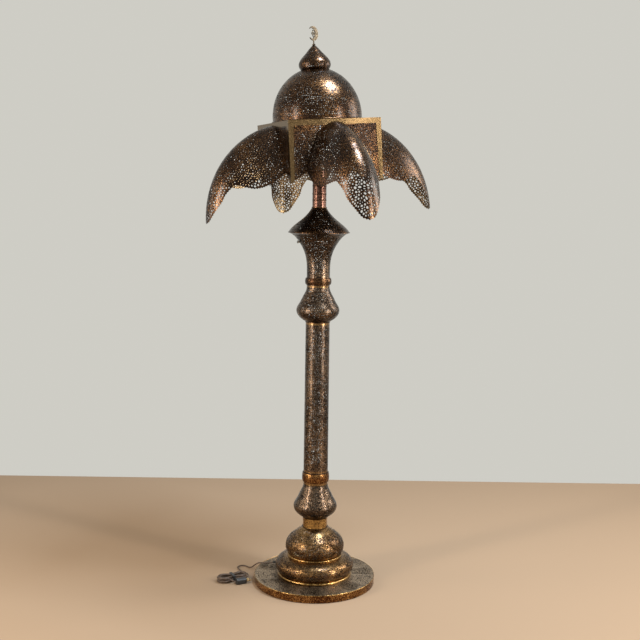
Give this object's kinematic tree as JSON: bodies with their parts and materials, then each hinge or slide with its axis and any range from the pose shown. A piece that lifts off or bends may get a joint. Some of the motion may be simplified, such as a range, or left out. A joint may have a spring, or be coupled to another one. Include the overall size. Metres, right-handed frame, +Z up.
{
  "type": "lantern floor lamp",
  "caption": "Tall floor lamp: pierced metal column on a weighted round foot, carrying a square lantern with drooping petals, a dome and a finial.",
  "frame": {"origin": "centre of the foot's underside, on the floor", "axes": "+Z up the pole; the lantern's square frame has its sides along X and Y, and its front faces -Y"},
  "size_m": [0.8227, 0.8239, 1.948],
  "materials": {
    "felt": "felted",
    "iron": "as cast",
    "pierced_brass": "pierced and darkly patinated",
    "plain_brass": "aged, rubbed bright on the edges",
    "red_brass": "coppery patina, turned rings",
    "steel": "zinc plated",
    "porcelain": "glazed",
    "glass": "frosted",
    "black_plastic": "moulded",
    "rubber": "moulded",
    "brown_flex": "smooth sheath"
  },
  "bodies": {
    "stand": {"foot_felt": "felt", "ballast_plate": "iron", "foot_rim_band": "plain_brass", "foot_top_plate": "pierced_brass", "foot_bead_ring": "plain_brass", "lower_bell": "pierced_brass", "bell_ring": "plain_brass", "upper_bell": "pierced_brass", "base_neck": "plain_brass", "lower_knop": "pierced_brass", "lower_collar": "plain_brass", "column_tube": "pierced_brass", "upper_knop": "pierced_brass", "upper_collar": "plain_brass", "capital": "pierced_brass", "capital_lid": "pierced_brass", "capital_set_screw": "steel", "neck_pipe": "red_brass", "neck_plug": "red_brass", "neck_rings": "red_brass", "tie_tube": "steel", "bottom_nut": "steel", "bottom_washer": "steel", "check_rings": "plain_brass", "wedge_washer": "steel", "hub_locknut": "steel", "lampholder": "porcelain", "cord_grommet": "rubber", "inner_flex": "brown_flex", "flex_run": "brown_flex", "flex_hank": "brown_flex", "flex_tail": "brown_flex", "twist_tie": "black_plastic", "mains_plug": "black_plastic", "plug_pins": "plain_brass"},
    "lantern": {"spider_hub": "steel", "spider_arm_front_right": "steel", "spider_arm_back_right": "steel", "spider_arm_back_left": "steel", "spider_arm_front_left": "steel", "frame_top_plate": "plain_brass", "frame_band": "plain_brass", "corner_post_front_right": "plain_brass", "corner_post_back_right": "plain_brass", "corner_post_back_left": "plain_brass", "corner_post_front_left": "plain_brass", "side_panel_front": "pierced_brass", "side_panel_right": "pierced_brass", "side_panel_back": "pierced_brass", "side_panel_left": "pierced_brass", "petal_front": "pierced_brass", "petal_right": "pierced_brass", "petal_back": "pierced_brass", "petal_left": "pierced_brass", "dome_ring": "plain_brass", "dome": "pierced_brass", "onion_cap": "pierced_brass"},
    "finial": {"finial": "plain_brass"},
    "bulb": {"bulb": "glass"},
    "switch_key": {"switch_key": "black_plastic"}
  },
  "joints": [
    {"name": "lantern_turn", "type": "hinge", "parent": "stand", "child": "lantern", "pos_m": [0, 0, 1.466], "axis": [-0.0679, -0.0042, 0.9977], "range_deg": [-170, 170]},
    {"name": "finial_turn", "type": "hinge", "parent": "lantern", "child": "finial", "pos_m": [-0.02865, -0.00175, 1.88702], "axis": [-0.0679, -0.0042, 0.9977], "range_deg": [-175, 175]},
    {"name": "bulb_out", "type": "slide", "parent": "stand", "child": "bulb", "axis": [-0.0679, -0.0042, 0.9977], "range_m": [0, 0.027]},
    {"name": "switch_turn", "type": "hinge", "parent": "stand", "child": "switch_key", "pos_m": [-0.00256, -0.02016, 1.50358], "axis": [0.0001, -1, -0.0042], "range_deg": [0, 90]}
  ]
}
